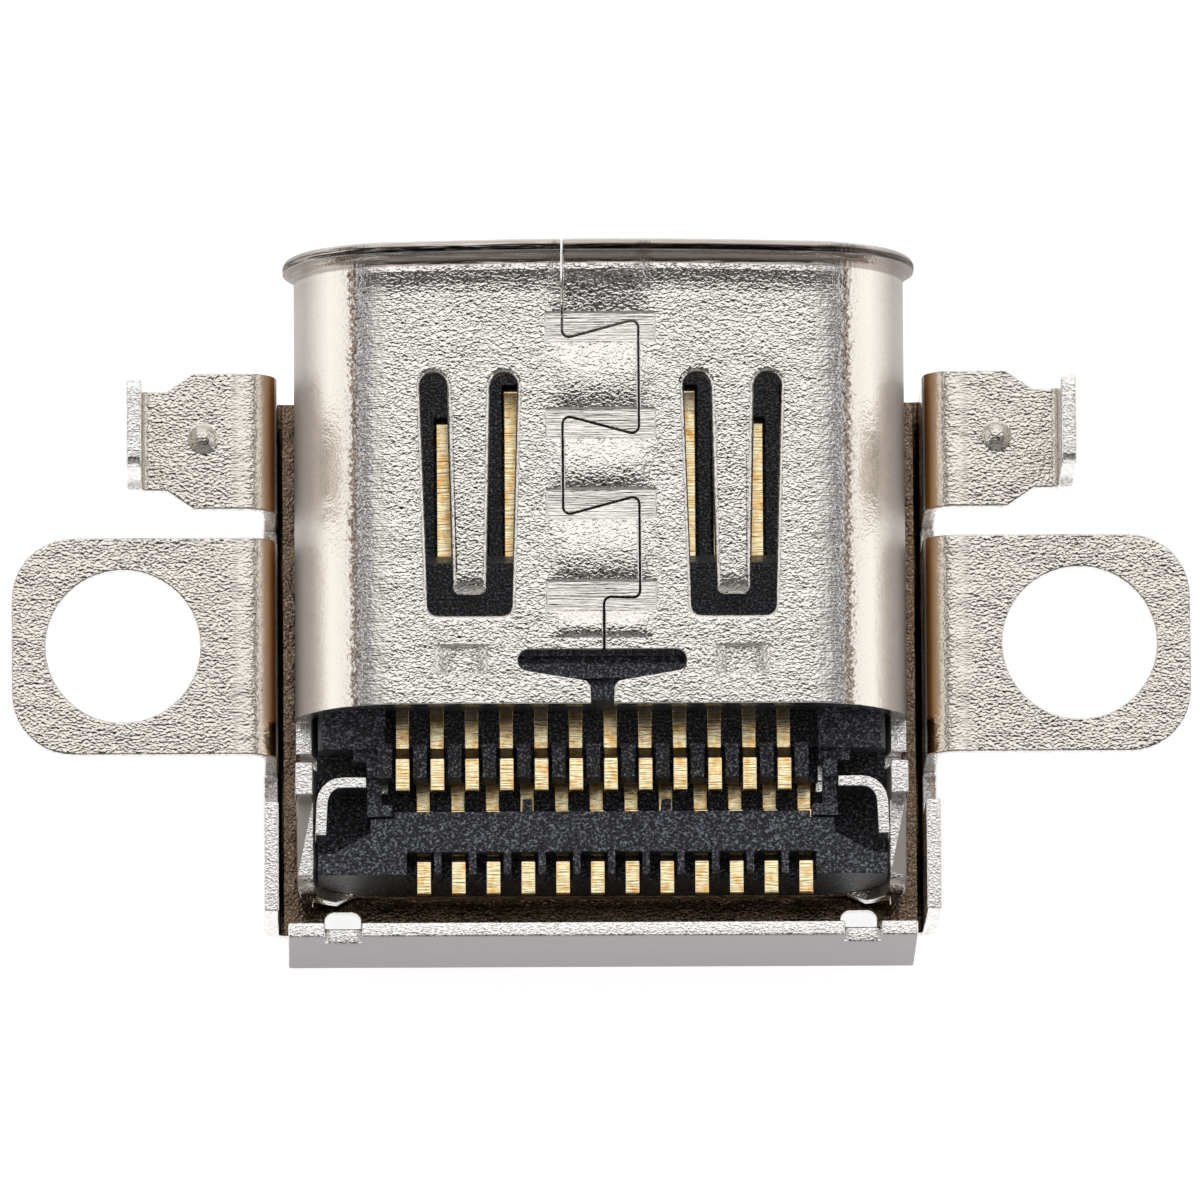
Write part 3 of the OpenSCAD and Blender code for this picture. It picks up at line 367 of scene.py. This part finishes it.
def bow_rim(bm):
    """Cuts the mouth's straight stretches across and bows its front edge. The flat rings round the mouth are
    made triangles first, because a cut across a whole ring would close its opening."""
    bm.normal_update()
    rings = [f for f in bm.faces if f.calc_center_median().y > 4.9 and abs(f.normal.y) > 0.99]
    bmesh.ops.triangulate(bm, faces=rings)
    for i in range(-9, 10):
        bmesh.ops.bisect_plane(bm, geom=bm.verts[:] + bm.edges[:] + bm.faces[:], dist=1e-5,
                               plane_co=(i * 0.3, 0, 0), plane_no=(1, 0, 0))
    for v in bm.verts:
        share = min(1.0, max(0.0, (v.co.y - 4.9) / 0.35))
        v.co.y -= share * min(abs(v.co.x), CORE) ** 2 / (2 * BOW_R)


def near_seam(edge):
    """Whether an edge lies in the strip of the seam and its coined pads, too fine for a full round."""
    middle = (edge.verts[0].co + edge.verts[1].co) / 2
    return middle.z > 0.4 and abs(middle.x) < 0.85 and 0.3 < middle.y < RIM_Y


def on_seam(edge):
    """Whether an edge runs along the seam between two pads, where the two lips roll in."""
    middle = (edge.verts[0].co + edge.verts[1].co) / 2
    clear = all(abs(middle.y - y) > COIN[1] / 2 + 0.01 for y in COIN_YS)
    return near_seam(edge) and clear and middle.z > 0.77 and abs(middle.x) < 0.6


def at_window(edge):
    """Whether an edge runs round one of the windows over the spring fingers."""
    middle = (edge.verts[0].co + edge.verts[1].co) / 2
    return middle.z > 0.7 and 0.8 < abs(middle.x) < 2.8 and 0.2 < middle.y < 4.5


def at_rear_cut(edge):
    """Whether an edge lies in a cut through the bracket's rear fold, where the cut runs out to nothing."""
    middle = (edge.verts[0].co + edge.verts[1].co) / 2
    return 3.4 < abs(middle.x) < 4.08 and middle.y < -4.05 and -2.42 < middle.z < -2.1


def shell_piece():
    bm = merged("shell", SHEET["shell"])
    for face in bm.faces:
        if face.calc_center_median().y > RIM_Y:
            face.material_index = 0
    bow_rim(bm)
    round_edges(bm, 0.03, 3, chosen=on_seam)
    round_edges(bm, 0.008, 1, chosen=lambda edge: near_seam(edge) and not on_seam(edge))
    round_edges(bm, 0.08, 4, chosen=at_window)
    round_edges(bm, 0.02, chosen=lambda edge: not near_seam(edge) and not at_window(edge))
    finish_piece(bm, "stamped_shell", "shell", ["shell", "edge"])


def bracket_piece():
    bm = merged("bracket", SHEET["bracket"])
    round_edges(bm, 0.03, chosen=lambda edge: not at_rear_cut(edge))
    finish_piece(bm, "folded_bracket", "bracket", ["bracket", "edge"])


def insulator_piece(node, edge):
    bm = merged(node)
    round_edges(bm, edge)
    finish_piece(bm, "moulded_" + node, node, ["lcp"])


def plate_piece():
    bm = merged("mid_plate")
    round_edges(bm, 0.015)
    finish_piece(bm, "stamped_mid_plate", "mid_plate", ["edge"])


def contact_piece(node):
    bm = merged(node)
    round_edges(bm, 0.015)
    finish_piece(bm, "plated_" + node, node, ["gold"])


shell_piece()
bracket_piece()
insulator_piece("tongue_body", 0.012)
insulator_piece("board_side_wafer", 0.012)
insulator_piece("base_side_wafer", 0.015)
plate_piece()
for i in CONTACTS:
    contact_piece(f"board_contact_{i}")
    contact_piece(f"base_contact_{i}")


# ---- Stage, light and camera ----

def white_floor():
    """A pale sheet under the socket. What looks at it sees it near white, and it keeps the soft shadow."""
    made = bpy.data.materials.new("white_paper")
    made.use_nodes = True
    tree = made.node_tree
    tree.nodes.clear()
    path = add(tree, "LightPath").node.outputs
    seen = add(tree, "Math", [path["Is Camera Ray"], path["Is Glossy Ray"]], operation="MAXIMUM")
    seen = add(tree, "Math", [seen, path["Is Transmission Ray"]], operation="MAXIMUM")
    glow = add(tree, "Math", [seen, 0.85], operation="MULTIPLY")
    paper = add(tree, "BsdfDiffuse", {"Color": "#c8c8c8"})
    light = add(tree, "Emission", {"Color": "#ffffff", "Strength": glow})
    add(tree, "OutputMaterial", {"Surface": add(tree, "AddShader", [paper, light])})
    bpy.ops.mesh.primitive_plane_add(size=1.2, location=(0, 0, cad_box[0][2] - 0.00001))
    floor = bpy.context.object
    floor.name = "floor"
    floor.data.materials.append(made)


CAMERA_TILT = math.radians(10)       # from straight above, to the rear
CAMERA_SIDE = math.radians(0.9)      # to the left
CAMERA_ROLL = math.radians(-0.4)
CAMERA_DISTANCE = 0.3
AIM = Vector((-0.016, 0.646, 0.0)) * MM
SPOT_EDGE = math.cos(math.radians(14))      # the dark spot round the lens, its soft edge and its middle
SPOT_MIDDLE = math.cos(math.radians(5))


def camera_direction():
    return Vector((-math.sin(CAMERA_SIDE), -math.sin(CAMERA_TILT), math.cos(CAMERA_TILT))).normalized()


def studio_world():
    """A white tent: a broad light overhead, darker gaps beside it, and a dark spot round the lens."""
    world = bpy.data.worlds.new("studio")
    bpy.context.scene.world = world
    world.use_nodes = True
    tree = world.node_tree
    tree.nodes.clear()
    direction = add(tree, "TexCoord")
    x, y, _ = add(tree, "SeparateXYZ", [direction]).node.outputs
    sideways = add(tree, "Math", [x], operation="ABSOLUTE")
    sides = add(tree, "ValToRGB", [sideways], stops=[
        (0.0, 1.0), (1.0, 1.2), (0.44, 1.0), (0.54, 0.36), (0.70, 0.32), (0.80, 1.0)])
    forward = add(tree, "MapRange", [y, -1.0, 1.0, 0.0, 1.0])
    lengthways = add(tree, "ValToRGB", [forward], stops=[
        (0.0, 0.34), (1.0, 0.9), (0.12, 0.30), (0.26, 0.10), (0.47, 0.10), (0.51, 0.30), (0.565, 1.0),
        (0.65, 1.45), (0.84, 1.2)])
    beside = add(tree, "MapRange", [sideways, 0.5, 0.78, 0.0, 1.0])
    lengthways = add(tree, "Mix", {"Factor": beside, "A": lengthways, "B": 1.0})
    tent = add(tree, "Math", [sides, lengthways], operation="MULTIPLY")
    lens = add(tree, "VectorMath", [direction, camera_direction()], operation="DOT_PRODUCT").node
    spot = add(tree, "MapRange", [lens.outputs["Value"], SPOT_EDGE, SPOT_MIDDLE, 1.0, 0.04],
               interpolation_type="SMOOTHSTEP")
    tent = add(tree, "Math", [tent, spot], operation="MULTIPLY")
    path = add(tree, "LightPath").node.outputs
    seen = add(tree, "Math", [path["Is Camera Ray"], path["Is Transmission Ray"]], operation="MAXIMUM")
    strength = add(tree, "Math", [seen, tent], operation="MAXIMUM")
    sky = add(tree, "Background", {"Color": "#ffffff", "Strength": strength})
    add(tree, "OutputWorld", {"Surface": sky})


def studio_camera():
    data = bpy.data.cameras.new("camera")
    data.sensor_width = 36
    data.lens = 624
    data.clip_start = 0.01
    data.clip_end = 10
    camera = bpy.data.objects.new("camera", data)
    back = camera_direction()
    right = Vector((0, 1, 0)).cross(back).normalized()
    up = back.cross(right)
    turn = Matrix((right, up, back)).transposed() @ Matrix.Rotation(CAMERA_ROLL, 3, "Z")
    camera.matrix_world = Matrix.Translation(AIM + back * CAMERA_DISTANCE) @ turn.to_4x4()
    bpy.context.scene.collection.objects.link(camera)
    bpy.context.scene.camera = camera


white_floor()
studio_world()
studio_camera()
bpy.context.scene.view_settings.view_transform = "Standard"
